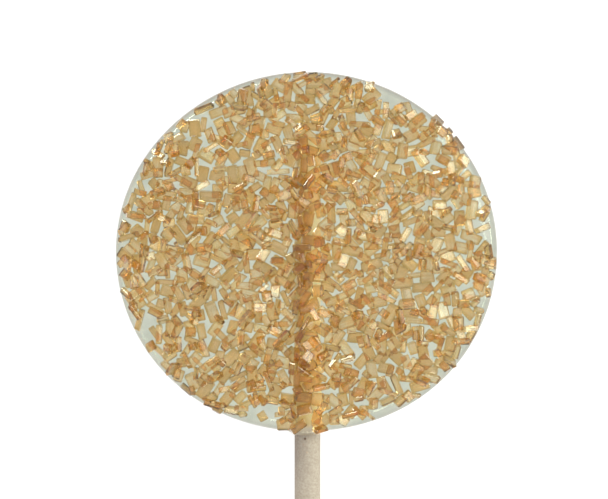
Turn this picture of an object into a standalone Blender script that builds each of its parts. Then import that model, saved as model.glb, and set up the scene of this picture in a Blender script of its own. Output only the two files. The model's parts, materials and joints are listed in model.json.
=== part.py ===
"""A flat round lollipop, lying on its back with its crystal face up.

A clear boiled-sugar disc is cast round a straight paper stick, and its face is crusted with coarse
golden sugar crystals. The origin is the centre of the disc's flat back. +Z points up out of the
crystal face, and the stick leaves the disc along -Y. Lengths are in metres.
"""

import math
import random

import bmesh
import bpy
import numpy as np
from mathutils import Euler, Matrix, Vector

MM = 0.001

# The disc is a slightly flattened circle, wider across the stick than along it.
DISC_WIDTH = 59.0 * MM
DISC_HEIGHT = 55.8 * MM
SHOULDER_HEIGHT = 6.0 * MM
DOME_RISE = 0.6 * MM
FACE_ROUNDING = 2.3 * MM
BACK_ROUNDING = 1.0 * MM
SIDE_BULGE = 0.1 * MM
# The rim's slow waver, as (waves round the rim, depth, phase).
RIM_WAVER = (
    (1, 0.06 * MM, 0.2),
    (2, 0.06 * MM, -0.6),
    (3, 0.06 * MM, 2.4),
    (4, 0.04 * MM, 3.0),
    (5, 0.04 * MM, -2.0),
)

# The stick lies in the middle of the disc's thickness.
STICK_DIAMETER = 4.0 * MM
STICK_LENGTH = 114.0 * MM
STICK_INNER_END = 17.7 * MM
STICK_OFFSET = 0.15 * MM
STICK_AXIS_HEIGHT = 3.0 * MM
STICK_END_BEVEL = 0.25 * MM
STICK_FIT_GAP = 0.3 * MM

# Where the stick comes out, the candy clings to it in a small collar.
COLLAR_REACH = 0.55 * MM
COLLAR_SPREAD = 2.45 * MM
COLLAR_OFFSET = -0.1 * MM
COLLAR_RISE = 0.3 * MM
COLLAR_SHARPNESS = 0.65

# The crystals' sizes, and how they fall.
CRYSTAL_SEED = 29
CRYSTAL_LENGTHS = (0.95 * MM, 3.5 * MM)
CRYSTAL_USUAL_LENGTH = 2.15 * MM
CRYSTAL_WIDTHS = (0.75 * MM, 1.85 * MM)
CRYSTAL_THICKNESSES = (0.5 * MM, 1.1 * MM)
ON_SIDE_SHARE = 0.18
FALLING_MIX = (0.5, 1.5)
CRYSTAL_COUNT = 1060
SPOT_CHOICES = 12
FACE_SINK = (0.25, 0.5)
HEAP_SINK = 0.12
STEEPEST = math.radians(34)
JITTER = math.radians(12)
HEAP_LIMIT = 2.0 * MM
CELL = 0.2 * MM
RIM_MARGIN = 0.5 * MM
RIM_CLEARANCE = 0.05 * MM
# Fewer crystals fall in a band inside the rim.
EDGE_BAND = 7.0 * MM
EDGE_BAND_SHARE = 0.66
# Places where the crust is thin, as (x, y, radius).
THIN_PATCHES = (
    (-17.5 * MM, 20.5 * MM, 3.6 * MM),
    (-28.0 * MM, 10.5 * MM, 2.6 * MM),
    (13.0 * MM, 24.5 * MM, 2.6 * MM),
    (27.5 * MM, 3.5 * MM, 2.4 * MM),
    (-6.5 * MM, -25.5 * MM, 2.6 * MM),
    (-25.5 * MM, -11.0 * MM, 2.6 * MM),
    (12.5 * MM, -24.0 * MM, 1.7 * MM),
    (0.4 * MM, -28.6 * MM, 2.0 * MM),
)
THIN_PATCH_SHARE = 0.12
# Crystals that stand past the rim, as (bearing, how far past the rim).
RIM_CRYSTALS = (
    (math.radians(45.0), 0.62 * MM),
    (math.radians(40.2), 0.45 * MM),
    (math.radians(35.6), 0.38 * MM),
    (math.radians(240.5), 0.4 * MM),
    (math.radians(229.0), 0.05 * MM),
)
RIM_LEAN = (math.radians(50), math.radians(70))

# The largest crystals that lie on the candy itself are made as solids, no closer than this.
SOLID_CRYSTALS = 310
SOLID_SPACING = 1.7 * MM

# The outline's points, in degrees round the disc, closer together at the stick's collar.
RIM_STEP = 5
COLLAR_STEP = 1.25
COLLAR_HALF_ANGLE = 10
STICK_BEARING = 270

SHARP_EDGE = math.radians(40)


def rim_radius(bearing):
    """The distance from the disc's axis to its rim, at each bearing."""
    half_width = DISC_WIDTH / 2
    half_height = DISC_HEIGHT / 2
    radius = half_width * half_height / np.hypot(
        half_height * np.cos(bearing), half_width * np.sin(bearing)
    )
    for waves, depth, phase in RIM_WAVER:
        radius = radius + depth * np.cos(waves * bearing + phase)
    return radius + COLLAR_REACH * nearness_to_stick(bearing)


def nearness_to_stick(bearing):
    """1 at the bearing where the stick leaves the disc, falling smoothly to 0 beside it."""
    across = DISC_HEIGHT / 2 * np.cos(bearing) - STICK_OFFSET - COLLAR_OFFSET
    return np.where(np.sin(bearing) < 0, np.exp(-((across / COLLAR_SPREAD) ** 4)), 0.0)


def edge_shape(bearing):
    """(height of the shoulder, rounding of the face edge, rounding of the back edge)."""
    near = nearness_to_stick(bearing)
    shoulder = SHOULDER_HEIGHT + COLLAR_RISE * near
    sharpness = 1 - COLLAR_SHARPNESS * near
    return shoulder, FACE_ROUNDING * sharpness, BACK_ROUNDING * sharpness


def height_inside_rim(bearing, inset):
    """The height of the candy's upper face, this far in from the rim."""
    shoulder, rounding, _ = edge_shape(bearing)
    share = np.clip(inset / rounding, 0, 1)
    edge = shoulder - rounding * (1 - np.sqrt(1 - (1 - share) ** 2))
    inner = np.clip(inset / (DISC_HEIGHT / 2), 0, 1)
    return edge + DOME_RISE * (1 - (1 - inner) ** 2)


def face_height(x, y):
    """The height of the candy's upper face at (x, y), and 0 at its rim and past it."""
    bearing = np.arctan2(y, x)
    inset = rim_radius(bearing) - np.hypot(x, y)
    return np.where(inset > RIM_CLEARANCE, height_inside_rim(bearing, inset), 0.0)


def rim_bearings():
    """The bearings of the outline's points, closer together round the stick's collar."""
    first = STICK_BEARING - COLLAR_HALF_ANGLE
    last = STICK_BEARING + COLLAR_HALF_ANGLE
    collar = np.arange(first, last, COLLAR_STEP)
    elsewhere = np.arange(last, first + 360, RIM_STEP)
    return np.radians(np.concatenate((collar, elsewhere)))


def ring(bearing, inset, height):
    """One closed line of points round the disc, as (x, y, z) rows."""
    radius = rim_radius(bearing) - inset
    level = np.zeros(len(bearing)) + height
    return np.column_stack((radius * np.cos(bearing), radius * np.sin(bearing), level))


def candy_rings():
    """The disc's outline at each level, from the flat back up to the face."""
    bearing = rim_bearings()
    shoulder, face_rounding, back_rounding = edge_shape(bearing)
    back = [
        ring(bearing, back_rounding * (1 - math.sin(turn)), back_rounding * (1 - math.cos(turn)))
        for turn in np.radians((0, 45, 90))
    ]
    side = [ring(bearing, -SIDE_BULGE, (back_rounding + shoulder - face_rounding) / 2)]
    edge_insets = [face_rounding * (1 - math.cos(turn)) for turn in np.radians((0, 30, 60))]
    face_insets = [FACE_ROUNDING, 0.4 * DISC_HEIGHT / 2, 0.75 * DISC_HEIGHT / 2]
    face = [
        ring(bearing, inset, height_inside_rim(bearing, inset))
        for inset in edge_insets + face_insets
    ]
    return back + side + face


def new_object(name, mesh, material=None):
    """An object in the scene that holds this mesh."""
    made = bpy.data.objects.new(name, mesh)
    bpy.context.scene.collection.objects.link(made)
    if material:
        mesh.materials.append(material)
    return made


def plain_material(name, colour, roughness, transmission=0.0):
    """A Principled material with one colour."""
    material = bpy.data.materials.new(name)
    material.use_nodes = True
    shader = material.node_tree.nodes["Principled BSDF"]
    shader.inputs["Base Color"].default_value = (*colour, 1)
    shader.inputs["Roughness"].default_value = roughness
    shader.inputs["Transmission Weight"].default_value = transmission
    return material


def candy_disc(material):
    """The disc alone: rings joined by bands, closed by a flat cap at the back and one at the face."""
    build = bmesh.new()
    rings = [[build.verts.new(point) for point in points] for points in candy_rings()]
    for lower, upper in zip(rings, rings[1:]):
        for i in range(len(lower)):
            j = (i + 1) % len(lower)
            build.faces.new((lower[i], lower[j], upper[j], upper[i]))
    build.faces.new(reversed(rings[0]))
    build.faces.new(rings[-1])
    bmesh.ops.recalc_face_normals(build, faces=build.faces)
    mesh = bpy.data.meshes.new("candy")
    build.to_mesh(mesh)
    build.free()
    return new_object("candy", mesh, material)


class Crust:
    """The height of whatever covers the disc's face, on a square grid, as crystals pile up on it."""

    def __init__(self):
        half = DISC_WIDTH / 2 + 1 * MM
        self.lines = np.arange(-half, half, CELL)
        self.x, self.y = np.meshgrid(self.lines, self.lines)
        self.face = face_height(self.x, self.y)
        self.top = self.face.copy()

    def footprint(self, x, y, heading, length, width):
        """The window round a crystal, its cells' places along and across it, and which it covers."""
        reach = math.hypot(length, width) / 2
        low_column, high_column = np.searchsorted(self.lines, (x - reach, x + reach))
        low_row, high_row = np.searchsorted(self.lines, (y - reach, y + reach))
        window = (slice(low_row, high_row), slice(low_column, high_column))
        east = self.x[window] - x
        north = self.y[window] - y
        along = east * math.cos(heading) + north * math.sin(heading)
        across = north * math.cos(heading) - east * math.sin(heading)
        covered = (np.abs(along) < length / 2) & (np.abs(across) < width / 2)
        return window, along, across, covered

    def lowest_spot(self, size, draw):
        """Of several spots, the (place, heading, footprint) with the least heap under the crystal."""
        lowest = None
        for _ in range(SPOT_CHOICES):
            x, y = random_spot(draw)
            heading = draw.uniform(0, math.pi)
            footprint = self.footprint(x, y, heading, size[0], size[1])
            window, _, _, covered = footprint
            under = self.top[window][covered]
            if len(under) == 0 or under.min() == 0:
                continue
            piled = (under - self.face[window][covered]).mean()
            if lowest is None or piled < lowest[0]:
                lowest = (piled, (x, y), heading, footprint)
        return lowest[1:] if lowest else None


def slope(place, height):
    """The slope of the heights along one direction, from the mean of each half."""
    far = place > 0
    if far.all() or not far.any():
        return 0.0
    rise = height[far].mean() - height[~far].mean()
    run = place[far].mean() - place[~far].mean()
    return rise / run if run > 0 else 0.0


def limited_tilt(gradient, draw):
    """The tilt for a slope, no steeper than a crystal stays put at, and a little uneven."""
    tilt = math.atan(gradient) + draw.uniform(-JITTER, JITTER)
    return max(-STEEPEST, min(STEEPEST, tilt))


def crystal_size(draw):
    """(length, width, thickness) of one crystal, as it lies: some lie on their narrow side."""
    length = draw.triangular(*CRYSTAL_LENGTHS, CRYSTAL_USUAL_LENGTH)
    width = min(draw.uniform(*CRYSTAL_WIDTHS), 0.95 * length)
    thickness = min(draw.uniform(*CRYSTAL_THICKNESSES), 0.9 * width)
    if draw.random() < ON_SIDE_SHARE:
        return length, thickness, width
    return length, width, thickness


def falling_order(draw):
    """The sizes of the crystals that fall on the face, roughly the broadest first."""
    sizes = [crystal_size(draw) for _ in range(CRYSTAL_COUNT)]
    return sorted(sizes, key=lambda size: -size[0] * size[1] * draw.uniform(*FALLING_MIX))


def is_welcome(x, y, draw):
    """Whether a crystal may fall here: fewer reach the outer edge and the thin patches."""
    inset = rim_radius(math.atan2(y, x)) - math.hypot(x, y)
    if inset < RIM_MARGIN:
        return False
    if inset < EDGE_BAND and draw.random() > EDGE_BAND_SHARE:
        return False
    for patch_x, patch_y, radius in THIN_PATCHES:
        if math.hypot(x - patch_x, y - patch_y) < radius and draw.random() > THIN_PATCH_SHARE:
            return False
    return True


def random_spot(draw):
    """A place on the face where a crystal may fall."""
    while True:
        x = draw.uniform(-0.5, 0.5) * DISC_WIDTH
        y = draw.uniform(-0.5, 0.5) * DISC_HEIGHT
        if is_welcome(x, y, draw):
            return x, y


def settled_crystal(crust, size, draw):
    """A crystal laid on what is under it, as a dict of its pose and size, or None if it won't stay."""
    spot = crust.lowest_spot(size, draw)
    if spot is None:
        return None
    (x, y), heading, (window, along, across, covered) = spot
    under = crust.top[window][covered]
    pitch_slope = math.tan(limited_tilt(slope(along[covered], under), draw))
    roll_slope = math.tan(limited_tilt(slope(across[covered], under), draw))
    plane = pitch_slope * along + roll_slope * across
    base = np.percentile(under - plane[covered], 80)
    piled = base - crust.face[window][covered].mean()
    if piled > HEAP_LIMIT:
        return None
    on_candy = piled < 0.2 * MM
    sink = draw.uniform(*FACE_SINK) if on_candy else HEAP_SINK
    middle = base + size[2] * (0.5 - sink)
    top = plane + middle + size[2] / 2
    crust.top[window] = np.where(covered, np.maximum(crust.top[window], top), crust.top[window])
    return {
        "place": (x, y, middle),
        "turn": (math.atan(roll_slope), -math.atan(pitch_slope), heading),
        "size": size,
        "habit": draw.randrange(len(HABITS)),
        "on_candy": on_candy,
    }


def rim_crystals(draw):
    """The crystals that cling to the rim's rounded edge, lying along it and leaning outwards."""
    made = []
    for bearing, stand_out in RIM_CRYSTALS:
        lean = draw.uniform(*RIM_LEAN)
        length, width, thickness = crystal_size(draw)
        shoulder, rounding, _ = edge_shape(bearing)
        reach = (width * math.cos(lean) + thickness * math.sin(lean)) / 2
        radius = rim_radius(bearing) + stand_out - reach
        height = float(shoulder - rounding * (1 - math.cos(lean)))
        made.append(
            {
                "place": (radius * math.cos(bearing), radius * math.sin(bearing), height),
                "turn": (lean, 0.0, bearing + math.pi / 2),
                "size": (length, width, thickness),
                "habit": draw.randrange(len(HABITS)),
                "on_candy": True,
            }
        )
    return made


def all_crystals():
    """Every crystal of the crust, each laid on those before it."""
    draw = random.Random(CRYSTAL_SEED)
    crust = Crust()
    made = rim_crystals(draw)
    for size in falling_order(draw):
        crystal = settled_crystal(crust, size, draw)
        if crystal:
            made.append(crystal)
    return made


# A crystal's cross-section, in shares of its width and thickness.
BLOCK = ((-0.5, -0.5), (0.5, -0.5), (0.5, 0.5), (-0.5, 0.5))
RIDGED = ((-0.5, -0.4), (-0.3, -0.5), (0.5, -0.5), (0.5, 0.1), (0.2, 0.5), (-0.5, 0.5))
ROOFED = ((-0.5, -0.5), (0.5, -0.5), (0.5, 0.05), (0.15, 0.5), (-0.5, 0.25))
# Each habit is a cross-section and how far its ends slant across the width and the thickness.
HABITS = (
    (BLOCK, 0.0, 0.05),
    (BLOCK, 0.08, -0.04),
    (BLOCK, -0.03, 0.06),
    (RIDGED, 0.03, 0.08),
    (ROOFED, -0.05, 0.06),
)


def crystal_corners(habit):
    """The corners of a crystal of unit size, one end after the other."""
    section, side_slant, top_slant = HABITS[habit]
    return [
        Vector((end * (0.5 - side_slant * across - top_slant * up), across, up))
        for end in (-1, 1)
        for across, up in section
    ]


def add_crystal(build, crystal):
    """Adds one crystal to a bmesh as a closed prism."""
    pose = (
        Matrix.Translation(crystal["place"])
        @ Euler(crystal["turn"]).to_matrix().to_4x4()
        @ Matrix.Diagonal((*crystal["size"], 1))
    )
    corners = [build.verts.new(pose @ corner) for corner in crystal_corners(crystal["habit"])]
    sides = len(corners) // 2
    first, last = corners[:sides], corners[sides:]
    build.faces.new(reversed(first))
    build.faces.new(last)
    for i in range(sides):
        j = (i + 1) % sides
        build.faces.new((first[i], first[j], last[j], last[i]))


def volume(crystal):
    """The space that a crystal's three sizes enclose."""
    return math.prod(crystal["size"])


def solid_crystals():
    """The largest crystals that lie on the candy, spread evenly."""
    chosen = []
    for crystal in sorted(all_crystals(), key=volume, reverse=True):
        place = Vector(crystal["place"])
        if not crystal["on_candy"]:
            continue
        if any((place - Vector(other["place"])).length < SOLID_SPACING for other in chosen):
            continue
        chosen.append(crystal)
        if len(chosen) == SOLID_CRYSTALS:
            break
    return chosen


def signed_volume(faces):
    """The volume inside a set of faces, below 0 where they wall in a hollow."""
    total = 0.0
    for face in faces:
        corners = [loop.vert.co for loop in face.loops]
        for second, third in zip(corners[1:], corners[2:]):
            total += corners[0].dot(second.cross(third)) / 6
    return total


def shells_of(build):
    """The bmesh's faces, grouped into shells that share no edge."""
    left = set(build.faces)
    shells = []
    while left:
        shell = []
        waiting = [left.pop()]
        while waiting:
            face = waiting.pop()
            shell.append(face)
            for edge in face.edges:
                for other in edge.link_faces:
                    if other in left:
                        left.remove(other)
                        waiting.append(other)
        shells.append(shell)
    return shells


def keep_outer_shell(mesh):
    """Drops the walls of sealed hollows and loose scraps, so that one solid shell is left."""
    build = bmesh.new()
    build.from_mesh(mesh)
    shells = sorted(shells_of(build), key=signed_volume)
    for shell in shells[:-1]:
        bmesh.ops.delete(build, geom=shell, context="FACES")
    build.to_mesh(mesh)
    build.free()


def apply_modifiers(made):
    """Replaces the object's mesh by what its modifiers make of it, kept to its outer shell."""
    evaluated = made.evaluated_get(bpy.context.evaluated_depsgraph_get())
    mesh = bpy.data.meshes.new_from_object(evaluated)
    made.modifiers.clear()
    made.data = mesh
    keep_outer_shell(mesh)


def fuse_crystals(candy):
    """Joins the crystals to the disc by one Boolean union."""
    helpers = bpy.data.collections.new("crystals")
    bpy.context.scene.collection.children.link(helpers)
    for number, crystal in enumerate(solid_crystals()):
        build = bmesh.new()
        add_crystal(build, crystal)
        bmesh.ops.recalc_face_normals(build, faces=build.faces)
        mesh = bpy.data.meshes.new(f"crystal_{number}")
        build.to_mesh(mesh)
        build.free()
        helpers.objects.link(bpy.data.objects.new(mesh.name, mesh))
    union = candy.modifiers.new("crystals", "BOOLEAN")
    union.operation = "UNION"
    union.operand_type = "COLLECTION"
    union.collection = helpers
    union.solver = "MANIFOLD"
    apply_modifiers(candy)
    for helper in list(helpers.objects):
        bpy.data.objects.remove(helper)
    bpy.data.collections.remove(helpers)


def rod(name, radius, inner_end, outer_end, bevel=0.0, material=None):
    """A round bar along Y on the stick's axis, with slightly eased ends."""
    build = bmesh.new()
    bmesh.ops.create_cone(
        build, cap_ends=True, segments=32, radius1=radius, radius2=radius, depth=inner_end - outer_end
    )
    if bevel:
        rims = [edge for edge in build.edges if any(len(face.verts) > 4 for face in edge.link_faces)]
        bmesh.ops.bevel(build, geom=rims, offset=bevel, segments=2, profile=0.5, affect="EDGES")
    middle = Vector((STICK_OFFSET, (inner_end + outer_end) / 2, STICK_AXIS_HEIGHT))
    build.transform(Matrix.Translation(middle) @ Matrix.Rotation(math.pi / 2, 4, "X"))
    mesh = bpy.data.meshes.new(name)
    build.to_mesh(mesh)
    build.free()
    mesh.shade_smooth()
    mesh.set_sharp_from_angle(angle=SHARP_EDGE)
    return new_object(name, mesh, material)


def cut_socket(candy):
    """Cuts the candy round the stick, with the gap that lets them touch without overlapping."""
    cutter = rod(
        "socket_cutter",
        STICK_DIAMETER / 2 + STICK_FIT_GAP,
        STICK_INNER_END + STICK_FIT_GAP,
        -DISC_HEIGHT,
    )
    cut = candy.modifiers.new("socket", "BOOLEAN")
    cut.operation = "DIFFERENCE"
    cut.object = cutter
    cut.solver = "MANIFOLD"
    apply_modifiers(candy)
    candy.data.shade_smooth()
    candy.data.set_sharp_from_angle(angle=SHARP_EDGE)
    bpy.data.objects.remove(cutter)


def main():
    """Builds the lollipop's two pieces."""
    for old in list(bpy.data.objects):
        bpy.data.objects.remove(old)
    candy = candy_disc(plain_material("candy", (0.62, 0.42, 0.17), 0.12, transmission=0.6))
    fuse_crystals(candy)
    cut_socket(candy)
    rod(
        "stick",
        STICK_DIAMETER / 2,
        STICK_INNER_END,
        STICK_INNER_END - STICK_LENGTH,
        bevel=STICK_END_BEVEL,
        material=plain_material("stick", (0.62, 0.52, 0.42), 0.8),
    )


main()
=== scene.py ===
"""The looks of a flat round lollipop: clear boiled sugar on a paper stick, crusted with golden crystals.

The disc lies on its back, with its centre over the origin, the crystal face up along +Z and the stick
along -Y. Lengths are in metres.
"""

import json
import math
import random

import bmesh
import bpy
import numpy as np
from mathutils import Matrix, Vector

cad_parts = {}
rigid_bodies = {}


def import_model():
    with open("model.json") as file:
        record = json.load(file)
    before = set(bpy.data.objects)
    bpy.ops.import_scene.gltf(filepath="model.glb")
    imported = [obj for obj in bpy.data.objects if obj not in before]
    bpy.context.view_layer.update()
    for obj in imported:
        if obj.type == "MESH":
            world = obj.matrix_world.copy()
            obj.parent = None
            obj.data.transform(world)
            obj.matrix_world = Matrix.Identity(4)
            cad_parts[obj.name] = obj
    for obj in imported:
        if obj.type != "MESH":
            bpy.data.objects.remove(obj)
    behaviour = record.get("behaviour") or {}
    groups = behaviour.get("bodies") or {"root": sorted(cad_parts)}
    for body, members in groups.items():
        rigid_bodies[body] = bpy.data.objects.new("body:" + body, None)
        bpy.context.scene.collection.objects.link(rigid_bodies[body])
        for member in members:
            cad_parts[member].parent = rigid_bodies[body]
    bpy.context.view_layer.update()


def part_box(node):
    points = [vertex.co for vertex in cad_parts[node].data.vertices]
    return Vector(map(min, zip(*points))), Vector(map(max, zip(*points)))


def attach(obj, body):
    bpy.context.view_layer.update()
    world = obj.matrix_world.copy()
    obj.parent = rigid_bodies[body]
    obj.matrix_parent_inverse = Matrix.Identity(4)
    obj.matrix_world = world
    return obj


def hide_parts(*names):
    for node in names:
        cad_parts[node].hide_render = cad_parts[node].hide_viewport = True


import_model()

MM = 0.001

# The disc, as the solid has it.
DISC_WIDTH = 59.0 * MM
DISC_HEIGHT = 55.8 * MM
SHOULDER_HEIGHT = 6.0 * MM
DOME_RISE = 0.6 * MM
FACE_ROUNDING = 2.3 * MM
BACK_ROUNDING = 1.0 * MM
SIDE_BULGE = 0.1 * MM
# The rim's slow waver, as (waves round the rim, depth, phase).
RIM_WAVER = (
    (1, 0.06 * MM, 0.2),
    (2, 0.06 * MM, -0.6),
    (3, 0.06 * MM, 2.4),
    (4, 0.04 * MM, 3.0),
    (5, 0.04 * MM, -2.0),
)
# Where the stick comes out, the candy clings to it in a small collar.
COLLAR_REACH = 0.55 * MM
COLLAR_SPREAD = 2.45 * MM
COLLAR_OFFSET = -0.1 * MM
COLLAR_RISE = 0.3 * MM
COLLAR_SHARPNESS = 0.65

# The disc's fine mesh: points round it, and rings over its edge, back, side and face. The shares
# are of the half height, inwards, and of the side's height.
RIM_POINTS = 360
EDGE_RINGS = 9
FACE_RINGS = 26
BACK_RING_SHARES = (0.6, 0.25)
SIDE_RING_SHARES = (0.25, 0.5, 0.75)
LAST_FACE_SHARE = 0.97
CANDY_SHARP_ANGLE = math.radians(35)

# The stick, from the solid's box, and its fine mesh.
stick_low, stick_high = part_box("stick")
STICK_RADIUS = (stick_high.x - stick_low.x) / 2
STICK_X = (stick_high.x + stick_low.x) / 2
STICK_Z = (stick_high.z + stick_low.z) / 2
STICK_INNER_END = stick_high.y
STICK_OUTER_END = stick_low.y
STICK_END_BEVEL = 0.25 * MM
STICK_SIDES = 64
STICK_SHARP_ANGLE = math.radians(40)
# The candy's socket is this much tighter than the stick.
SOCKET_BITE = 0.03 * MM

# The crystals' sizes, and how they fall: the same rule and seed as the solid's.
CRYSTAL_SEED = 29
CRYSTAL_LENGTHS = (0.95 * MM, 3.5 * MM)
CRYSTAL_USUAL_LENGTH = 2.15 * MM
CRYSTAL_WIDTHS = (0.75 * MM, 1.85 * MM)
CRYSTAL_THICKNESSES = (0.5 * MM, 1.1 * MM)
# No crystal is wider than this share of its length, or thicker than this share of its width.
WIDTH_LIMIT = 0.95
THICKNESS_LIMIT = 0.9
ON_SIDE_SHARE = 0.18
FALLING_MIX = (0.5, 1.5)
CRYSTAL_COUNT = 1060
SPOT_CHOICES = 12
# How deep a crystal sinks, in shares of its thickness, into the candy and into a heap.
FACE_SINK = (0.25, 0.5)
HEAP_SINK = 0.12
# A crystal raised less than this lies on the candy itself.
ON_CANDY_HEIGHT = 0.2 * MM
# The share of the ground, in percent, that lies below a crystal that has come to rest.
REST_PERCENTILE = 80
STEEPEST = math.radians(34)
JITTER = math.radians(12)
HEAP_LIMIT = 2.0 * MM
# The square grid of heights that crystals are laid on.
CELL = 0.2 * MM
GRID_MARGIN = 1 * MM
# No crystal falls within the margin of the rim, and the face ends a little inside it.
RIM_MARGIN = 0.5 * MM
RIM_CLEARANCE = 0.05 * MM
# Fewer crystals fall in a band inside the rim.
EDGE_BAND = 7.0 * MM
EDGE_BAND_SHARE = 0.66
# Places where the crust is thin, as (x, y, radius).
THIN_PATCHES = (
    (-17.5 * MM, 20.5 * MM, 3.6 * MM),
    (-28.0 * MM, 10.5 * MM, 2.6 * MM),
    (13.0 * MM, 24.5 * MM, 2.6 * MM),
    (27.5 * MM, 3.5 * MM, 2.4 * MM),
    (-6.5 * MM, -25.5 * MM, 2.6 * MM),
    (-25.5 * MM, -11.0 * MM, 2.6 * MM),
    (12.5 * MM, -24.0 * MM, 1.7 * MM),
    (0.4 * MM, -28.6 * MM, 2.0 * MM),
)
THIN_PATCH_SHARE = 0.12
# Crystals that stand past the rim, as (bearing, how far past the rim).
RIM_CRYSTALS = (
    (math.radians(45.0), 0.62 * MM),
    (math.radians(40.2), 0.45 * MM),
    (math.radians(35.6), 0.38 * MM),
    (math.radians(240.5), 0.4 * MM),
    (math.radians(229.0), 0.05 * MM),
)
RIM_LEAN = (math.radians(50), math.radians(70))
# A crystal's cross-section, in shares of its width and thickness.
BLOCK = ((-0.5, -0.5), (0.5, -0.5), (0.5, 0.5), (-0.5, 0.5))
RIDGED = ((-0.5, -0.4), (-0.3, -0.5), (0.5, -0.5), (0.5, 0.1), (0.2, 0.5), (-0.5, 0.5))
ROOFED = ((-0.5, -0.5), (0.5, -0.5), (0.5, 0.05), (0.15, 0.5), (-0.5, 0.25))
# Each habit is a cross-section and how far its ends slant across the width and the thickness.
HABITS = (
    (BLOCK, 0.0, 0.05),
    (BLOCK, 0.08, -0.04),
    (BLOCK, -0.03, 0.06),
    (RIDGED, 0.03, 0.08),
    (ROOFED, -0.05, 0.06),
)
# The size, in millimetres, at which the chamfer is cut. The shape is then made a unit one.
USUAL_SIZE = Vector((2.0, 1.35, 0.9))
CHAMFER = 0.12
# A face whose normal rises less than this takes the colour of the edges.
EDGE_FACE_LIMIT = 0.85
CRYSTAL_WARP = 0.03 * MM
CRYSTAL_WARP_SIZE = 1.1 * MM
# What the node tree that lays the crystals is given.
TREE_INPUTS = (
    ("Points", "NodeSocketGeometry"),
    ("Habits", "NodeSocketCollection"),
    ("Sugar", "NodeSocketMaterial"),
    ("Warp", "NodeSocketFloat"),
    ("Warp Size", "NodeSocketFloat"),
)

# Noise is seldom outside this span, so patterns are drawn out from it.
NOISE_SPAN = (0.3, 0.7)

# The sugar's colours: from pale to deep across a crystal's broad faces, and along its edges.
FACE_TINTS = (
    (0.0, (1.0, 0.87, 0.67)),
    (0.3, (0.94, 0.64, 0.33)),
    (0.62, (0.71, 0.47, 0.19)),
    (1.0, (0.41, 0.26, 0.10)),
)
EDGE_TINT = (0.74, 0.525, 0.245)
# Groups of crystals lean from the plain tints to warmer ones.
FACE_CASTS = ((1.0, 1.0, 1.0), (1.0, 0.93, 0.72))
CAST_SIZE = 2.6 * MM
CAST_SPAN = (0.4, 0.6)
# A crystal's own tint is 0 to 1. Those past the rim are deeper; those over the stick's left side and
# middle are deeper too, as painted shade that stands in for the stick's shadow under them.
RIM_TINT = 1.5
STICK_SHADE_STRIP = (-3.1 * MM, 0.8 * MM)
STICK_SHADE_TINT = 0.42
# How much each pattern deepens the sugar, and the span of their sum.
OWN_TINT_WEIGHT = 0.44
BORDER_WEIGHT = 0.27
GROWTH_WEIGHT = 0.3
CLOUD_WEIGHT = 0.1
SHADE_SPAN = (0.12, 1.22)
# The border and the growth lines are patterns in the shares of a crystal's own size.
BORDER_SPAN = (0.3, 0.48)
GROWTH_SIZE = 0.4
GROWTH_STRETCH = (0.3, 2.0, 1.0)
GROWTH_SPAN = (0.33, 0.67)
GROWTH_DEPTH = 0.0008 * MM
# Crystals whose tints differ by 1 are this far apart in the noise, so that no two match.
NOISE_SHIFT = (31.0, 57.0, 83.0)
SUGAR_CLOUD_SIZE = 0.9 * MM
SUGAR_ROUGHNESS = (0.03, 0.12)
SUGAR_IOR = 1.22
SUGAR_COAT_ROUGHNESS = 0.14

# The candy's colours across its face, and a painted dark outline along its rim: painted shade that
# stands in for the dark surroundings seen through the rounded edge, browner towards the top, where it
# stands in for crystals seen through the rim.
CANDY_TINTS = ((0.56, 0.61, 0.52), (0.71, 0.74, 0.64))
CANDY_OUTLINE_SHADE = (0.38, 0.38, 0.32)
CANDY_TOP_OUTLINE_SHADE = (0.24, 0.21, 0.17)
TOP_SHADE_SPAN = (6.0 * MM, 18.0 * MM)
OUTLINE_SHADE_SPAN = (0.2 * MM, 0.9 * MM)
# Its clouds, uneven gloss and slight waves.
CANDY_CLOUD_SIZE = 2.5 * MM
CANDY_GLOSS_SIZE = 3 * MM
CANDY_ROUGHNESS = (0.01, 0.05)
CANDY_WAVE_SIZE = 1.6 * MM
CANDY_WAVE_DEPTH = 0.06 * MM
CANDY_IOR = 1.5

# The stick's paper: dry outside the candy, and soaked inside it, with painted shade that makes it
# browner along its left side, away from the light on the right.
GRAIN_SIZE = 0.32 * MM
GRAIN_ROUGHNESS = 0.6
GRAIN_DEPTH = 0.05 * MM
GRAIN_STRENGTH = 0.6
GRAIN_WEIGHT = 0.8
BLOTCH_SIZE = 2.2 * MM
PAPER_ROUGHNESS = (0.75, 0.92)
DRY_PAPER = (
    (0.3, (0.29, 0.23, 0.19)),
    (0.5, (0.36, 0.30, 0.25)),
    (0.7, (0.43, 0.37, 0.315)),
)
SOAKED_PAPER_AND_SHADE = (
    (0.1, (0.66, 0.45, 0.20)),
    (0.5, (0.80, 0.58, 0.30)),
    (0.8, (1.0, 0.86, 0.58)),
)
# The glow is painted light, standing for the light that the sugar scatters back onto the soaked paper;
# it is dimmer on the left and brighter towards the right.
SOAKED_GLOW = (
    (0.1, (0.27, 0.165, 0.035)),
    (0.5, (0.36, 0.235, 0.07)),
    (0.8, (0.53, 0.43, 0.23)),
)
# The soaked colours and their painted shade run across the stick, dark on the left and light on the
# right, and wander by blotches and by a slow noise.
SOAKED_SHADE_SPAN = (-1.95 * MM, 2.05 * MM)
BLOTCH_WANDER = 3.0 * MM
SLOW_WANDER = 2.5 * MM
SLOW_WANDER_SIZE = 11 * MM
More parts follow.
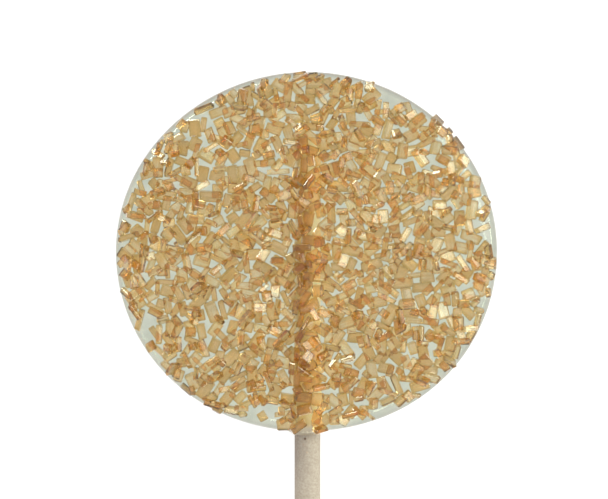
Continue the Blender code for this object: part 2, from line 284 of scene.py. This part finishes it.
# Places along Y: the paper is soaked from its inner end to the soak edge, and from there to the mouth's
# edge, where it leaves the candy, it carries a faint painted glow that stands in for light reaching it
# through the clear lip.
SOAK_EDGE = -26.4 * MM
SOAK_BLUR = 0.8 * MM
MOUTH_EDGE = -28.1 * MM
MOUTH_BLUR = 0.2 * MM
MOUTH_GLOW = (0.46, 0.39, 0.31)
# A pale ragged fringe of painted glow along the left side.
FRINGE_SPAN = (-2.1 * MM, -1.3 * MM)
FRINGE_BLOTCHES = 2.4 * MM
FRINGE_GRAIN = 1.2 * MM
FRINGE_GLOW = (0.50, 0.47, 0.36)
# A tiny brown speck on the paper, just outside the candy.
SPECK_PLACE = (-0.23 * MM, -28.85 * MM)
SPECK_SIZE = (0.10 * MM, 0.26 * MM)
SPECK_COLOUR = (0.10, 0.05, 0.03)

# The floor, a little below the candy.
FLOOR_HALF = 1.5
FLOOR_DROP = 0.1 * MM
FLOOR_GREYS = ((0.30, 0.30, 0.30), (0.32, 0.32, 0.32))
FLOOR_CLOUD_SIZE = 0.2
FLOOR_GLOW = 0.82

# The lamps, as (name, place, size, watts, colour). Each faces the middle of the disc. A wide soft
# one and a small one above it stand on the right, one stands in front, and two low ones make the
# thin bright lines along the crystals' chamfers.
LAMPS = (
    ("side", (0.55, 0.10, 0.40), (0.6, 0.6), 2.4, (0.97, 1.0, 0.84)),
    ("glint", (0.24, 0.12, 0.40), (0.20, 0.20), 0.62, (0.86, 1.0, 0.84)),
    ("front", (0.05, -0.44, 0.34), (0.30, 0.14), 0.8, (0.93, 1.0, 0.80)),
    ("low_right", (0.50, -0.05, 0.10), (0.5, 0.05), 0.8, (0.93, 1.0, 0.80)),
    ("low_left", (-0.28, 0.42, 0.12), (0.4, 0.05), 1.7, (0.95, 1.0, 0.80)),
)
SURROUND_STRENGTH = 0.85
# Light passes through many crystals, so it needs many bounces.
GLASS_BOUNCES = 24

# The camera looks straight down. Pixel places are those of the 608 by 499 photograph.
IMAGE_WIDTH = 608
IMAGE_HEIGHT = 499
PIXELS_PER_METRE = 6450
DISC_CENTRE_PIXEL = (306.5, 252.0)
LENS = 200.0
SENSOR = 36.0
NEAREST_SEEN = 0.01


def rim_radius(bearing):
    """The distance from the disc's axis to its rim, at each bearing."""
    half_width = DISC_WIDTH / 2
    half_height = DISC_HEIGHT / 2
    radius = half_width * half_height / np.hypot(
        half_height * np.cos(bearing), half_width * np.sin(bearing)
    )
    for waves, depth, phase in RIM_WAVER:
        radius = radius + depth * np.cos(waves * bearing + phase)
    return radius + COLLAR_REACH * nearness_to_stick(bearing)


def nearness_to_stick(bearing):
    """1 at the bearing where the stick leaves the disc, falling smoothly to 0 beside it."""
    across = DISC_HEIGHT / 2 * np.cos(bearing) - STICK_X - COLLAR_OFFSET
    return np.where(np.sin(bearing) < 0, np.exp(-((across / COLLAR_SPREAD) ** 4)), 0.0)


def edge_shape(bearing):
    """(height of the shoulder, rounding of the face edge, rounding of the back edge)."""
    near = nearness_to_stick(bearing)
    shoulder = SHOULDER_HEIGHT + COLLAR_RISE * near
    sharpness = 1 - COLLAR_SHARPNESS * near
    return shoulder, FACE_ROUNDING * sharpness, BACK_ROUNDING * sharpness


def height_inside_rim(bearing, inset):
    """The height of the candy's upper face, this far in from the rim."""
    shoulder, rounding, _ = edge_shape(bearing)
    share = np.clip(inset / rounding, 0, 1)
    edge = shoulder - rounding * (1 - np.sqrt(1 - (1 - share) ** 2))
    inner = np.clip(inset / (DISC_HEIGHT / 2), 0, 1)
    return edge + DOME_RISE * (1 - (1 - inner) ** 2)


def face_height(x, y):
    """The height of the candy's upper face at (x, y), and 0 at its rim and past it."""
    bearing = np.arctan2(y, x)
    inset = rim_radius(bearing) - np.hypot(x, y)
    return np.where(inset > RIM_CLEARANCE, height_inside_rim(bearing, inset), 0.0)


class Crust:
    """The height of whatever covers the disc's face, on a square grid, as crystals pile up on it."""

    def __init__(self):
        half = DISC_WIDTH / 2 + GRID_MARGIN
        self.lines = np.arange(-half, half, CELL)
        self.x, self.y = np.meshgrid(self.lines, self.lines)
        self.face = face_height(self.x, self.y)
        self.top = self.face.copy()

    def footprint(self, x, y, heading, length, width):
        """The window round a crystal, its cells' places along and across it, and which it covers."""
        reach = math.hypot(length, width) / 2
        low_column, high_column = np.searchsorted(self.lines, (x - reach, x + reach))
        low_row, high_row = np.searchsorted(self.lines, (y - reach, y + reach))
        window = (slice(low_row, high_row), slice(low_column, high_column))
        east = self.x[window] - x
        north = self.y[window] - y
        along = east * math.cos(heading) + north * math.sin(heading)
        across = north * math.cos(heading) - east * math.sin(heading)
        covered = (np.abs(along) < length / 2) & (np.abs(across) < width / 2)
        return window, along, across, covered

    def lowest_spot(self, size, draw):
        """Of several spots, the (place, heading, footprint) with the least heap under the crystal."""
        lowest = None
        for _ in range(SPOT_CHOICES):
            x, y = random_spot(draw)
            heading = draw.uniform(0, math.pi)
            footprint = self.footprint(x, y, heading, size[0], size[1])
            window, _, _, covered = footprint
            under = self.top[window][covered]
            if len(under) == 0 or under.min() == 0:
                continue
            piled = (under - self.face[window][covered]).mean()
            if lowest is None or piled < lowest[0]:
                lowest = (piled, (x, y), heading, footprint)
        return lowest[1:] if lowest else None


def slope(place, height):
    """The slope of the heights along one direction, from the mean of each half."""
    far = place > 0
    if far.all() or not far.any():
        return 0.0
    rise = height[far].mean() - height[~far].mean()
    run = place[far].mean() - place[~far].mean()
    return rise / run if run > 0 else 0.0


def limited_tilt(gradient, draw):
    """The tilt for a slope, no steeper than a crystal stays put at, and a little uneven."""
    tilt = math.atan(gradient) + draw.uniform(-JITTER, JITTER)
    return max(-STEEPEST, min(STEEPEST, tilt))


def crystal_size(draw):
    """(length, width, thickness) of one crystal, as it lies: some lie on their narrow side."""
    length = draw.triangular(*CRYSTAL_LENGTHS, CRYSTAL_USUAL_LENGTH)
    width = min(draw.uniform(*CRYSTAL_WIDTHS), WIDTH_LIMIT * length)
    thickness = min(draw.uniform(*CRYSTAL_THICKNESSES), THICKNESS_LIMIT * width)
    if draw.random() < ON_SIDE_SHARE:
        return length, thickness, width
    return length, width, thickness


def falling_order(draw):
    """The sizes of the crystals that fall on the face, roughly the broadest first."""
    sizes = [crystal_size(draw) for _ in range(CRYSTAL_COUNT)]
    return sorted(sizes, key=lambda size: -size[0] * size[1] * draw.uniform(*FALLING_MIX))


def is_welcome(x, y, draw):
    """Whether a crystal may fall here: fewer reach the outer edge and the thin patches."""
    inset = rim_radius(math.atan2(y, x)) - math.hypot(x, y)
    if inset < RIM_MARGIN:
        return False
    if inset < EDGE_BAND and draw.random() > EDGE_BAND_SHARE:
        return False
    for patch_x, patch_y, radius in THIN_PATCHES:
        if math.hypot(x - patch_x, y - patch_y) < radius and draw.random() > THIN_PATCH_SHARE:
            return False
    return True


def random_spot(draw):
    """A place on the face where a crystal may fall."""
    while True:
        x = draw.uniform(-0.5, 0.5) * DISC_WIDTH
        y = draw.uniform(-0.5, 0.5) * DISC_HEIGHT
        if is_welcome(x, y, draw):
            return x, y


def settled_crystal(crust, size, draw):
    """A crystal laid on what is under it, as a dict of its pose and size, or None if it won't stay."""
    spot = crust.lowest_spot(size, draw)
    if spot is None:
        return None
    (x, y), heading, (window, along, across, covered) = spot
    under = crust.top[window][covered]
    pitch_slope = math.tan(limited_tilt(slope(along[covered], under), draw))
    roll_slope = math.tan(limited_tilt(slope(across[covered], under), draw))
    plane = pitch_slope * along + roll_slope * across
    base = np.percentile(under - plane[covered], REST_PERCENTILE)
    piled = base - crust.face[window][covered].mean()
    if piled > HEAP_LIMIT:
        return None
    on_candy = piled < ON_CANDY_HEIGHT
    sink = draw.uniform(*FACE_SINK) if on_candy else HEAP_SINK
    middle = base + size[2] * (0.5 - sink)
    top = plane + middle + size[2] / 2
    crust.top[window] = np.where(covered, np.maximum(crust.top[window], top), crust.top[window])
    return {
        "place": (x, y, middle),
        "turn": (math.atan(roll_slope), -math.atan(pitch_slope), heading),
        "size": size,
        "habit": draw.randrange(len(HABITS)),
    }


def rim_crystals(draw):
    """The crystals that cling to the rim's rounded edge, lying along it and leaning outwards."""
    made = []
    for bearing, stand_out in RIM_CRYSTALS:
        lean = draw.uniform(*RIM_LEAN)
        length, width, thickness = crystal_size(draw)
        shoulder, rounding, _ = edge_shape(bearing)
        reach = (width * math.cos(lean) + thickness * math.sin(lean)) / 2
        radius = rim_radius(bearing) + stand_out - reach
        height = float(shoulder - rounding * (1 - math.cos(lean)))
        made.append(
            {
                "place": (radius * math.cos(bearing), radius * math.sin(bearing), height),
                "turn": (lean, 0.0, bearing + math.pi / 2),
                "size": (length, width, thickness),
                "habit": draw.randrange(len(HABITS)),
            }
        )
    return made


def all_crystals():
    """Every crystal of the crust, each laid on those before it."""
    draw = random.Random(CRYSTAL_SEED)
    crust = Crust()
    made = rim_crystals(draw)
    for size in falling_order(draw):
        crystal = settled_crystal(crust, size, draw)
        if crystal:
            made.append(crystal)
    return made


def new_object(name, mesh):
    """An object in the scene that holds this mesh."""
    made = bpy.data.objects.new(name, mesh)
    bpy.context.scene.collection.objects.link(made)
    return made


def finished(made, name):
    """A plain mesh object of what the modifiers make of this one, which it takes the place of."""
    evaluated = made.evaluated_get(bpy.context.evaluated_depsgraph_get())
    mesh = bpy.data.meshes.new_from_object(evaluated)
    bpy.data.objects.remove(made)
    mesh.name = name
    return new_object(name, mesh)


class Value:
    """A socket's number, so that shader maths reads as plain arithmetic."""

    def __init__(self, graph, socket):
        self.graph = graph
        self.socket = socket

    def _maths(self, operation, first, second):
        return self.graph.add("ShaderNodeMath", {"operation": operation}, {0: first, 1: second})

    def other(self, name):
        """Another output of the same node."""
        return Value(self.graph, self.socket.node.outputs[name])

    def size(self):
        """The number without its sign."""
        return self._maths("ABSOLUTE", self, 0.0)

    def larger(self, other):
        """The larger of two numbers."""
        return self._maths("MAXIMUM", self, other)

    def __add__(self, other):
        return self._maths("ADD", self, other)

    __radd__ = __add__

    def __sub__(self, other):
        return self._maths("SUBTRACT", self, other)

    def __rsub__(self, other):
        return self._maths("SUBTRACT", other, self)

    def __mul__(self, other):
        return self._maths("MULTIPLY", self, other)

    __rmul__ = __mul__

    def __truediv__(self, other):
        return self._maths("DIVIDE", self, other)

    def __rtruediv__(self, other):
        return self._maths("DIVIDE", other, self)


class Graph:
    """A node tree, and the one way that a node is added to it."""

    def __init__(self, tree):
        self.tree = tree

    def add(self, kind, settings=None, inputs=None, output=0):
        """Adds a node with these settings and socket values, and gives one of its outputs."""
        node = self.tree.nodes.new(kind)
        for name, value in (settings or {}).items():
            if name == "stops":
                set_stops(node.color_ramp, value)
            else:
                setattr(node, name, value)
        for name, value in (inputs or {}).items():
            self.feed(node.inputs[name], value)
        return Value(self, node.outputs[output])

    def feed(self, socket, value):
        """Links a Value to a socket, or sets a plain value on it."""
        if isinstance(value, Value):
            self.tree.links.new(value.socket, socket)
        else:
            socket.default_value = value


def set_stops(ramp, stops):
    """Gives a colour ramp these (place, colour) stops."""
    while len(ramp.elements) < len(stops):
        ramp.elements.new(1.0)
    for element, (place, colour) in zip(ramp.elements, stops):
        element.position = place
        element.color = (*colour, 1)


class Finish(Graph):
    """A material with a Principled shader, and the patterns that its finish is made from."""

    def __init__(self, name):
        self.material = bpy.data.materials.new(name)
        self.material.use_nodes = True
        super().__init__(self.material.node_tree)
        self.shader = self.tree.nodes["Principled BSDF"]
        self.place = self.add("ShaderNodeTexCoord", output="Object")

    def set(self, **values):
        """Sets the shader's sockets, named with underscores for spaces."""
        for name, value in values.items():
            self.feed(self.shader.inputs[name.replace("_", " ")], value)

    def attribute(self, name, output="Fac"):
        """A value that the piece's own mesh carries."""
        return self.add("ShaderNodeAttribute", {"attribute_name": name}, output=output)

    def vector(self, operation, inputs, output=0):
        """What a Vector Math node makes of these."""
        return self.add("ShaderNodeVectorMath", {"operation": operation}, inputs, output)

    def axes(self, place):
        """The X of a place, whose other outputs are Y and Z."""
        return self.add("ShaderNodeSeparateXYZ", inputs={"Vector": place})

    def stretched(self, place, shift, scale):
        """A place drawn out along each axis, and moved on by a shift so that no two pieces match."""
        moved = self.vector("SCALE", {0: NOISE_SHIFT, "Scale": shift})
        return self.vector("MULTIPLY_ADD", {0: place, 1: scale, 2: moved})

    def noise(self, size, detail=2.0, roughness=0.5, at=None):
        """Cloudy noise from 0 to 1, with patches of about this size in metres."""
        return self.add(
            "ShaderNodeTexNoise",
            inputs={
                "Vector": at or self.place,
                "Scale": 1 / size,
                "Detail": detail,
                "Roughness": roughness,
            },
        )

    def ramp(self, value, stops):
        """A colour for each number, from (place, colour) stops."""
        return self.add("ShaderNodeValToRGB", {"stops": stops}, {"Fac": value})

    def mixed(self, share, low, high):
        """A colour between two."""
        low = low if isinstance(low, Value) else (*low, 1)
        high = high if isinstance(high, Value) else (*high, 1)
        return self.add(
            "ShaderNodeMix", {"data_type": "RGBA"}, {0: share, 6: low, 7: high}, output=2
        )

    def between(self, value, low, high, start=0.0, end=1.0):
        """A number moved from one span to another, and kept inside it."""
        return self.add(
            "ShaderNodeMapRange",
            inputs={"Value": value, "From Min": low, "From Max": high, "To Min": start, "To Max": end},
        )

    def bump(self, height, distance, strength=1.0):
        """A surface relief from a height in 0 to 1, this deep in metres."""
        return self.add(
            "ShaderNodeBump", inputs={"Height": height, "Distance": distance, "Strength": strength}
        )


def boiled_sugar():
    """Clear boiled sugar: glassy, a breath of grey-green, with a faintly uneven gloss and a painted
    shaded outline at its rim.
    """
    finish = Finish("boiled_sugar")
    cloud = finish.between(finish.noise(CANDY_CLOUD_SIZE, detail=3), *NOISE_SPAN)
    # Painted shade: the colour darkens towards the rim and browns towards the top, standing in for what
    # is seen through the rounded edge.
    outline = finish.between(finish.attribute("inset"), *OUTLINE_SHADE_SPAN, 1.0, 0.0)
    upward = finish.between(finish.axes(finish.place).other("Y"), *TOP_SHADE_SPAN)
    outline_shade_tint = finish.mixed(upward, CANDY_OUTLINE_SHADE, CANDY_TOP_OUTLINE_SHADE)
    finish.set(
        Base_Color=finish.mixed(outline, finish.mixed(cloud, *CANDY_TINTS), outline_shade_tint),
        Roughness=finish.between(finish.noise(CANDY_GLOSS_SIZE), *NOISE_SPAN, *CANDY_ROUGHNESS),
        IOR=CANDY_IOR,
        Transmission_Weight=1.0,
        Normal=finish.bump(finish.noise(CANDY_WAVE_SIZE, detail=3), CANDY_WAVE_DEPTH),
    )
    return finish.material


def golden_sugar():
    """Coarse sugar crystals: straw to honey, clear, deeper along their edges, with growth lines."""
    finish = Finish("golden_sugar")
    tint = finish.attribute("tint")
    within = finish.attribute("within", "Vector")
    stretched = finish.stretched(within, tint, GROWTH_STRETCH)
    growth = finish.noise(GROWTH_SIZE, detail=4, at=stretched)
    lines = finish.between(growth, *GROWTH_SPAN)
    cloud = finish.between(finish.noise(SUGAR_CLOUD_SIZE), *NOISE_SPAN)
    cast_share = finish.between(finish.noise(CAST_SIZE, detail=0), *CAST_SPAN)
    cast = finish.mixed(cast_share, *FACE_CASTS)
    along = finish.axes(within)
    border = finish.between(along.size().larger(along.other("Y").size()), *BORDER_SPAN)
    shade = OWN_TINT_WEIGHT * tint + BORDER_WEIGHT * border + GROWTH_WEIGHT * lines
    shade = shade + CLOUD_WEIGHT * cloud
    face = finish.ramp(finish.between(shade, *SHADE_SPAN), FACE_TINTS)
    face = finish.vector("MULTIPLY", {0: face, 1: cast})
    finish.set(
        Base_Color=finish.mixed(finish.attribute("edge"), face, EDGE_TINT),
        Roughness=finish.between(growth, *NOISE_SPAN, *SUGAR_ROUGHNESS),
        IOR=SUGAR_IOR,
        Transmission_Weight=1.0,
        Coat_Weight=1.0,
        Coat_Roughness=SUGAR_COAT_ROUGHNESS,
        Normal=finish.bump(growth, GROWTH_DEPTH),
    )
    return finish.material


def stick_paper():
    """Rolled uncoated paper: warm grey-beige and matte, and golden where sugar has soaked it, with
    painted shade down its left side and a painted glow inside the candy.
    """
    finish = Finish("stick_paper")
    grain = finish.noise(GRAIN_SIZE, detail=3, roughness=GRAIN_ROUGHNESS)
    blotch = finish.noise(BLOTCH_SIZE, detail=3)
    grain_shift = grain - 0.5
    blotch_shift = blotch - 0.5
    slow_shift = finish.noise(SLOW_WANDER_SIZE, detail=1) - 0.5
    x = finish.axes(finish.place)
    y = x.other("Y")
    dry = finish.ramp(GRAIN_WEIGHT * grain + (1 - GRAIN_WEIGHT) * blotch, DRY_PAPER)
    wander = BLOTCH_WANDER * blotch_shift + SLOW_WANDER * slow_shift
    # Painted shade: across the stick the soaked paper runs from dark on the left to light on the right,
    # as if lit from the right.
    across = finish.between(x + wander, *SOAKED_SHADE_SPAN)
    soaked = finish.ramp(across, SOAKED_PAPER_AND_SHADE)
    # A ragged pale fringe of painted glow along the left side.
    ragged = x + FRINGE_BLOTCHES * blotch_shift + FRINGE_GRAIN * grain_shift
    off_fringe = finish.between(ragged, *FRINGE_SPAN)
    # Painted light: a glow on the soaked paper, dimmer on the left and brighter to the right.
    glow = finish.mixed(off_fringe, FRINGE_GLOW, finish.ramp(across, SOAKED_GLOW))
    wet = finish.between(y + SOAK_BLUR * grain_shift, SOAK_EDGE - SOAK_BLUR, SOAK_EDGE)
    inside = finish.between(y, MOUTH_EDGE - MOUTH_BLUR, MOUTH_EDGE)
    speck_place = (*SPECK_PLACE, STICK_Z + STICK_RADIUS)
    off_speck = finish.vector("DISTANCE", {0: finish.place, 1: speck_place}, output="Value")
    dry = finish.mixed(finish.between(off_speck, *SPECK_SIZE), SPECK_COLOUR, dry)
    finish.set(
        Base_Color=finish.mixed(wet, dry, soaked),
        # Emission is painted light: the paper inside the candy glows, though it is no lamp.
        Emission_Color=finish.mixed(wet, finish.mixed(inside, (0, 0, 0), MOUTH_GLOW), glow),
        Emission_Strength=1.0,
        Roughness=finish.between(grain, *NOISE_SPAN, *PAPER_ROUGHNESS),
        Normal=finish.bump(grain, GRAIN_DEPTH, GRAIN_STRENGTH),
    )
    return finish.material


def pale_floor():
    """A plain white light table."""
    finish = Finish("pale_floor")
    finish.set(
        Base_Color=finish.mixed(finish.noise(FLOOR_CLOUD_SIZE), *FLOOR_GREYS),
        Roughness=0.9,
        Emission_Color=(1, 1, 1, 1),
        Emission_Strength=FLOOR_GLOW,
    )
    return finish.material


def ring(bearing, inset, height):
    """One closed line of points round the disc, as (x, y, z) rows."""
    radius = rim_radius(bearing) - inset
    level = np.zeros(len(bearing)) + height
    return np.column_stack((radius * np.cos(bearing), radius * np.sin(bearing), level))


def candy_rings():
    """The disc's outline at each level, from the flat back up to the middle of the face."""
    bearing = np.linspace(0, 2 * math.pi, RIM_POINTS, endpoint=False)
    shoulder, face_rounding, back_rounding = edge_shape(bearing)
    quarter = np.linspace(0, math.pi / 2, EDGE_RINGS)
    rings = [ring(bearing, share * DISC_HEIGHT / 2, 0.0) for share in BACK_RING_SHARES]
    for turn in quarter:
        inset = back_rounding * (1 - math.sin(turn))
        rings.append(ring(bearing, inset, back_rounding * (1 - math.cos(turn))))
    for share in SIDE_RING_SHARES:
        bulge = SIDE_BULGE * math.sin(math.pi * share)
        level = back_rounding + share * (shoulder - face_rounding - back_rounding)
        rings.append(ring(bearing, -bulge, level))
    for turn in quarter:
        inset = face_rounding * (1 - math.cos(turn))
        rings.append(ring(bearing, inset, height_inside_rim(bearing, inset)))
    first = FACE_ROUNDING / (DISC_HEIGHT / 2)
    for share in np.linspace(first, LAST_FACE_SHARE, FACE_RINGS)[1:]:
        inset = face_rounding + (share - first) * (DISC_HEIGHT / 2)
        rings.append(ring(bearing, inset, height_inside_rim(bearing, inset)))
    return rings


def candy_disc():
    """The clear disc, cast round the stick."""
    build = bmesh.new()
    rings = [[build.verts.new(point) for point in points] for points in candy_rings()]
    for lower, upper in zip(rings, rings[1:]):
        for i in range(len(lower)):
            j = (i + 1) % len(lower)
            build.faces.new((lower[i], lower[j], upper[j], upper[i]))
    build.faces.new(reversed(rings[0]))
    build.faces.new(rings[-1])
    bmesh.ops.recalc_face_normals(build, faces=build.faces)
    mesh = bpy.data.meshes.new("candy_disc")
    build.to_mesh(mesh)
    build.free()
    disc = new_object("candy_disc", mesh)
    cutter = stick_rod("socket", STICK_RADIUS - SOCKET_BITE, 0.0, -DISC_HEIGHT)
    cut = disc.modifiers.new("socket", "BOOLEAN")
    cut.operation = "DIFFERENCE"
    cut.object = cutter
    made = finished(disc, "clear_candy")
    place = np.array([vertex.co for vertex in made.data.vertices])
    inset = rim_radius(np.arctan2(place[:, 1], place[:, 0])) - np.hypot(place[:, 0], place[:, 1])
    made.data.attributes.new("inset", "FLOAT", "POINT").data.foreach_set("value", inset)
    bpy.data.objects.remove(cutter)
    made.data.shade_smooth()
    made.data.set_sharp_from_angle(angle=CANDY_SHARP_ANGLE)
    return made


def stick_rod(name, radius, bevel, outer_end):
    """A round bar along Y on the stick's axis."""
    build = bmesh.new()
    bmesh.ops.create_cone(
        build,
        cap_ends=True,
        segments=STICK_SIDES,
        radius1=radius,
        radius2=radius,
        depth=STICK_INNER_END - outer_end,
    )
    if bevel:
        rims = [edge for edge in build.edges if any(len(face.verts) > 4 for face in edge.link_faces)]
        bmesh.ops.bevel(build, geom=rims, offset=bevel, segments=3, profile=0.5, affect="EDGES")
    middle = Vector((STICK_X, (STICK_INNER_END + outer_end) / 2, STICK_Z))
    build.transform(Matrix.Translation(middle) @ Matrix.Rotation(math.pi / 2, 4, "X"))
    mesh = bpy.data.meshes.new(name)
    build.to_mesh(mesh)
    build.free()
    mesh.shade_smooth()
    mesh.set_sharp_from_angle(angle=STICK_SHARP_ANGLE)
    return new_object(name, mesh)


def crystal_shape(number, habit):
    """A crystal of unit size: a prism with slanted ends and chamfered edges."""
    section, side_slant, top_slant = habit
    build = bmesh.new()

    def slanted_end(end):
        """The corners of one end, -1 or 1 along the crystal."""
        corners = []
        for across, up in section:
            reach = 0.5 - side_slant * across - top_slant * up
            corners.append(build.verts.new((end * reach, across, up)))
        return corners

    first = slanted_end(-1)
    last = slanted_end(1)
    build.faces.new(reversed(first))
    build.faces.new(last)
    for i in range(len(section)):
        j = (i + 1) % len(section)
        build.faces.new((first[i], first[j], last[j], last[i]))
    build.transform(Matrix.Diagonal((*USUAL_SIZE, 1)))
    bmesh.ops.recalc_face_normals(build, faces=build.faces)
    bmesh.ops.bevel(
        build, geom=build.edges[:], offset=CHAMFER, segments=1, profile=0.5, affect="EDGES"
    )
    edge = [float(abs(face.normal.z) < EDGE_FACE_LIMIT) for face in build.faces]
    build.transform(Matrix.Diagonal((*(1 / side for side in USUAL_SIZE), 1)))
    mesh = bpy.data.meshes.new(f"habit_{number}")
    build.to_mesh(mesh)
    build.free()
    mesh.attributes.new("edge", "FLOAT", "FACE").data.foreach_set("value", edge)
    within = [value for vertex in mesh.vertices for value in vertex.co]
    mesh.attributes.new("within", "FLOAT_VECTOR", "POINT").data.foreach_set("vector", within)
    return bpy.data.objects.new(f"habit_{number}", mesh)


def crystal_points(crystals):
    """A mesh of one point for each crystal, which carries its turn, size, habit and tint."""
    mesh = bpy.data.meshes.new("crystal_points")
    mesh.from_pydata([crystal["place"] for crystal in crystals], [], [])
    draw = random.Random(CRYSTAL_SEED + 1)
    for name in ("turn", "size"):
        values = np.array([crystal[name] for crystal in crystals], np.float32)
        mesh.attributes.new(name, "FLOAT_VECTOR", "POINT").data.foreach_set("vector", values.ravel())
    habits = [crystal["habit"] for crystal in crystals]
    mesh.attributes.new("habit", "INT", "POINT").data.foreach_set("value", habits)
    tints = []
    for crystal in crystals:
        x, y, _ = crystal["place"]
        # Painted shade: crystals over the stick's left side and middle are deepened for the stick's
        # shadow.
        in_stick_shade = STICK_SHADE_STRIP[0] < x < STICK_SHADE_STRIP[1] and y < STICK_INNER_END
        tints.append(draw.random() + STICK_SHADE_TINT * in_stick_shade)
    tints[: len(RIM_CRYSTALS)] = [RIM_TINT] * len(RIM_CRYSTALS)
    mesh.attributes.new("tint", "FLOAT", "POINT").data.foreach_set("value", tints)
    return mesh


def crystal_tree():
    """Geometry Nodes that lay a crystal of its own habit, turn and size on each point."""
    tree = bpy.data.node_groups.new("sugar_crystals", "GeometryNodeTree")
    for name, kind in TREE_INPUTS:
        tree.interface.new_socket(name, in_out="INPUT", socket_type=kind)
    tree.interface.new_socket("Crystals", in_out="OUTPUT", socket_type="NodeSocketGeometry")
    graph = Graph(tree)
    given = tree.nodes.new("NodeGroupInput")

    def named(name, kind):
        return graph.add("GeometryNodeInputNamedAttribute", {"data_type": kind}, {"Name": name})

    def input_value(name):
        return Value(graph, given.outputs[name])

    habits = graph.add(
        "GeometryNodeCollectionInfo",
        inputs={"Collection": input_value("Habits"), "Separate Children": True, "Reset Children": True},
    )
    turn = graph.add("FunctionNodeEulerToRotation", inputs={"Euler": named("turn", "FLOAT_VECTOR")})
    laid = graph.add(
        "GeometryNodeInstanceOnPoints",
        inputs={
            "Points": input_value("Points"),
            "Instance": habits,
            "Pick Instance": True,
            "Instance Index": named("habit", "INT"),
            "Rotation": turn,
            "Scale": named("size", "FLOAT_VECTOR"),
        },
    )
    whole = graph.add("GeometryNodeRealizeInstances", inputs={"Geometry": laid})
    noise = graph.add(
        "ShaderNodeTexNoise",
        inputs={"Scale": 1 / input_value("Warp Size"), "Detail": 0.0},
        output="Color",
    )
    centred = graph.add(
        "ShaderNodeVectorMath", {"operation": "SUBTRACT"}, {0: noise, 1: (0.5, 0.5, 0.5)}
    )
    offset = graph.add(
        "ShaderNodeVectorMath", {"operation": "SCALE"}, {0: centred, "Scale": input_value("Warp")}
    )
    warped = graph.add("GeometryNodeSetPosition", inputs={"Geometry": whole, "Offset": offset})
    coated = graph.add(
        "GeometryNodeSetMaterial", inputs={"Geometry": warped, "Material": input_value("Sugar")}
    )
    out = tree.nodes.new("NodeGroupOutput")
    graph.feed(out.inputs["Crystals"], coated)
    return tree


def set_tree_inputs(modifier, **values):
    """Sets a Geometry Nodes modifier's inputs, named with underscores for spaces."""
    for item in modifier.node_group.interface.items_tree:
        name = item.name.replace(" ", "_")
        if item.in_out == "INPUT" and name in values:
            modifier[item.identifier] = values[name]


def crystals_piece(sugar):
    """All the sugar crystals as one plain mesh."""
    habits = bpy.data.collections.new("habits")
    for number, habit in enumerate(HABITS):
        habits.objects.link(crystal_shape(number, habit))
    points = new_object("crystal_points", crystal_points(all_crystals()))
    laying = points.modifiers.new("crystals", "NODES")
    laying.node_group = crystal_tree()
    set_tree_inputs(
        laying, Habits=habits, Sugar=sugar, Warp=CRYSTAL_WARP, Warp_Size=CRYSTAL_WARP_SIZE
    )
    made = finished(points, "sugar_crystals")
    for shape in list(habits.objects):
        bpy.data.objects.remove(shape)
    bpy.data.collections.remove(habits)
    return made


def floor_piece():
    """The plain floor that the lollipop lies on."""
    mesh = bpy.data.meshes.new("floor")
    corners = [
        (east * FLOOR_HALF, north * FLOOR_HALF, -FLOOR_DROP)
        for east, north in ((-1, -1), (1, -1), (1, 1), (-1, 1))
    ]
    mesh.from_pydata(corners, [], [(0, 1, 2, 3)])
    return new_object("floor", mesh)


def area_light(name, place, size, power, colour):
    """A soft rectangular lamp that faces the middle of the disc."""
    lamp = bpy.data.lights.new(name, "AREA")
    lamp.shape = "RECTANGLE"
    lamp.size, lamp.size_y = size
    lamp.energy = power
    lamp.color = colour
    made = bpy.data.objects.new(name, lamp)
    made.location = place
    made.rotation_euler = (-Vector(place)).to_track_quat("-Z", "Y").to_euler()
    bpy.context.scene.collection.objects.link(made)


def light_the_scene():
    """The lamps, and a pale surround."""
    world = bpy.data.worlds.new("surround")
    world.use_nodes = True
    background = world.node_tree.nodes["Background"]
    background.inputs["Color"].default_value = (1, 1, 1, 1)
    background.inputs["Strength"].default_value = SURROUND_STRENGTH
    bpy.context.scene.world = world
    for lamp in LAMPS:
        area_light(*lamp)


def place_camera():
    """A camera straight above, framed as the photograph."""
    camera = bpy.data.cameras.new("camera")
    camera.lens = LENS
    camera.sensor_width = SENSOR
    camera.clip_start = NEAREST_SEEN
    made = bpy.data.objects.new("camera", camera)
    width = IMAGE_WIDTH / PIXELS_PER_METRE
    x = (IMAGE_WIDTH / 2 - DISC_CENTRE_PIXEL[0]) / PIXELS_PER_METRE
    y = (DISC_CENTRE_PIXEL[1] - IMAGE_HEIGHT / 2) / PIXELS_PER_METRE
    made.location = (x, y, STICK_Z + width * LENS / SENSOR)
    bpy.context.scene.collection.objects.link(made)
    bpy.context.scene.camera = made


def main():
    """Dresses the solids, and sets the floor, the light and the camera."""
    disc = candy_disc()
    disc.data.materials.clear()
    disc.data.materials.append(boiled_sugar())
    crystals = crystals_piece(golden_sugar())
    stick = stick_rod("paper_stick", STICK_RADIUS, STICK_END_BEVEL, STICK_OUTER_END)
    stick.data.materials.append(stick_paper())
    for piece, node in ((disc, "candy"), (crystals, "candy"), (stick, "stick")):
        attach(piece, "root")
        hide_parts(node)
    floor = floor_piece()
    floor.data.materials.append(pale_floor())
    light_the_scene()
    place_camera()
    scene = bpy.context.scene
    scene.view_settings.view_transform = "Standard"
    scene.cycles.max_bounces = GLASS_BOUNCES
    scene.cycles.transmission_bounces = GLASS_BOUNCES


main()
